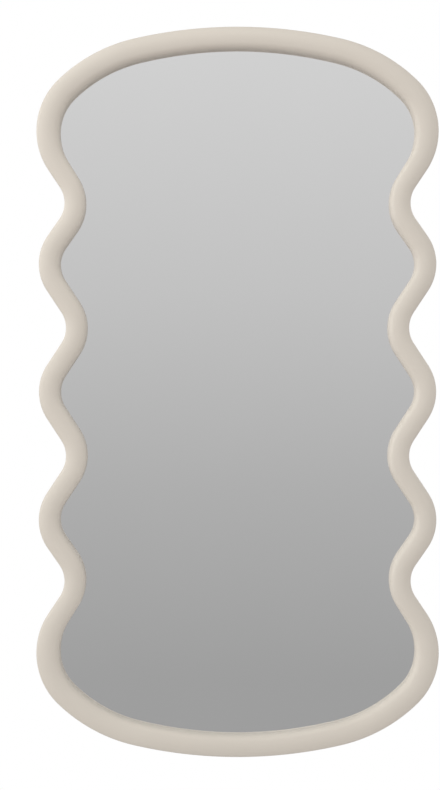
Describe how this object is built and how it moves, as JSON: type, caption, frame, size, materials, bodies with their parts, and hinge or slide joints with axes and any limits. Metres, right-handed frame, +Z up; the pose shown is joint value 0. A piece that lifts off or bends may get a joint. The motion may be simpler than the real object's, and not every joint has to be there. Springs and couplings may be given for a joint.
{
  "type": "wall mirror",
  "caption": "Upright wall mirror: a wavy, domed cream frame round a set-back silvered pane, with a screwed backing board, D-ring hangers and wall bumpers.",
  "frame": {"origin": "on the wall plane, behind the middle of the mirror", "axes": "+X to the right seen from the front, +Y into the wall, +Z up; the glass faces -Y"},
  "size_m": [0.551, 0.0359, 1],
  "materials": {
    "cream_lacquer": "satin cream lacquer, sprayed over moulded board",
    "silvered_glass": "silvered float glass, polished",
    "grey_film": "matt safety film",
    "hardboard": "plain pressed hardboard",
    "white_foam": "closed-cell foam",
    "black_rubber": "matt moulded rubber",
    "zinc_steel": "zinc-plated steel, dull"
  },
  "bodies": {
    "mirror": {"frame": "cream_lacquer", "mirror_pane": "silvered_glass", "safety_film": "grey_film", "backing_board": "hardboard", "board_screws": "zinc_steel", "cushion_pads": "white_foam", "packer_bottom_left": "black_rubber", "packer_bottom_right": "black_rubber", "packer_side_left": "black_rubber", "packer_side_right": "black_rubber", "left_hanger_strap": "zinc_steel", "right_hanger_strap": "zinc_steel", "left_hanger_screws": "zinc_steel", "right_hanger_screws": "zinc_steel", "bumper_top_left": "black_rubber", "bumper_top_right": "black_rubber", "bumper_bottom_left": "black_rubber", "bumper_bottom_right": "black_rubber"},
    "left_ring": {"left_hanger_ring": "zinc_steel"},
    "right_ring": {"right_hanger_ring": "zinc_steel"}
  },
  "joints": [
    {"name": "left_ring_swing", "type": "hinge", "parent": "mirror", "child": "left_ring", "pos_m": [-0.2595, -0.00355, 0.3745], "axis": [1, 0, 0], "range_deg": [0, 176]},
    {"name": "right_ring_swing", "type": "hinge", "parent": "mirror", "child": "right_ring", "pos_m": [0.2595, -0.00355, 0.3745], "axis": [1, 0, 0], "range_deg": [0, 176]}
  ]
}
